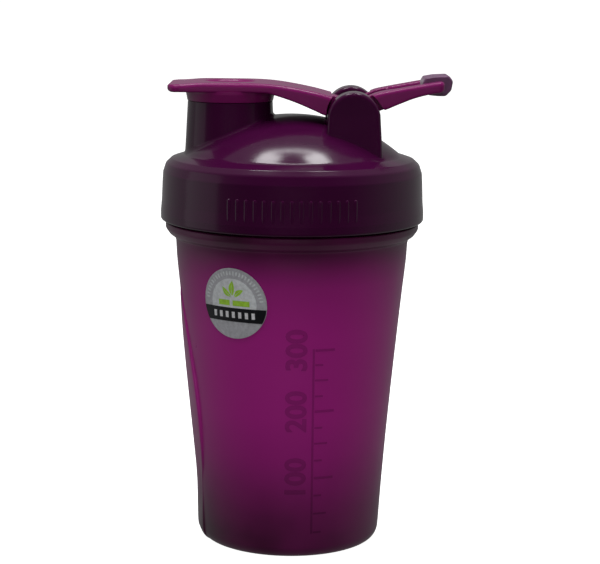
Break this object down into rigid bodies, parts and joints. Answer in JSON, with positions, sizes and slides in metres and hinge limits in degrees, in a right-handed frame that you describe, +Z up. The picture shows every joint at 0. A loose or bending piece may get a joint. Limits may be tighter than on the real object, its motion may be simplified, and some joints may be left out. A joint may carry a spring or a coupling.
{
  "type": "protein shaker bottle",
  "caption": "Shaker bottle: tapered translucent cup, screw lid with a spout, flip cap and carry loop on one hinge pin, and a loose wire mixing ball.",
  "frame": {"origin": "centre of the flat underside of the cup's foot, on the cup's own axis", "axes": "+Z up along the cup's axis, the spout towards -X and the carry loop towards +X"},
  "size_m": [0.1077, 0.0982, 0.176],
  "materials": {
    "cup_plastic": "translucent, lightly frosted magenta",
    "lid_plastic": "satin moulded deep purple",
    "cap_plastic": "satin moulded magenta",
    "pin_plastic": "smooth",
    "grip_rubber": "soft touch",
    "seal_rubber": "clean silicone",
    "steel_wire": "polished stainless wire",
    "label_film": "printed silver film"
  },
  "bodies": {
    "cup": {"cup": "cup_plastic", "label": "label_film"},
    "seal": {"seal_ring": "seal_rubber"},
    "lid": {"lid": "lid_plastic", "hinge_pin": "pin_plastic"},
    "flip_cap": {"flip_cap": "cap_plastic"},
    "carry_loop": {"carry_loop": "cap_plastic", "loop_grip": "grip_rubber"},
    "mixing_ball": {"mixing_ball": "steel_wire"}
  },
  "joints": [
    {"name": "lid_rise", "type": "slide", "parent": "cup", "child": "seal", "axis": [0, 0, 1], "range_m": [0, 0.0181]},
    {"name": "lid_turn", "type": "hinge", "parent": "seal", "child": "lid", "pos_m": [0, 0, 0.13], "axis": [0, 0, 1], "range_deg": [0, 540]},
    {"name": "flip_cap", "type": "hinge", "parent": "lid", "child": "flip_cap", "pos_m": [0.022, 0, 0.162], "axis": [0, 1, 0], "range_deg": [0, 90]},
    {"name": "carry_loop", "type": "hinge", "parent": "lid", "child": "carry_loop", "pos_m": [0.022, 0, 0.162], "axis": [0, 1, 0], "range_deg": [-5, 35]},
    {"name": "mixing_ball", "type": "slide", "parent": "cup", "child": "mixing_ball", "axis": [0, 0, 1], "range_m": [0, 0.085]}
  ],
  "couplings": [
    {"joint": "lid_rise", "follows": "lid_turn", "m_per_rad": 0.0019099}
  ]
}
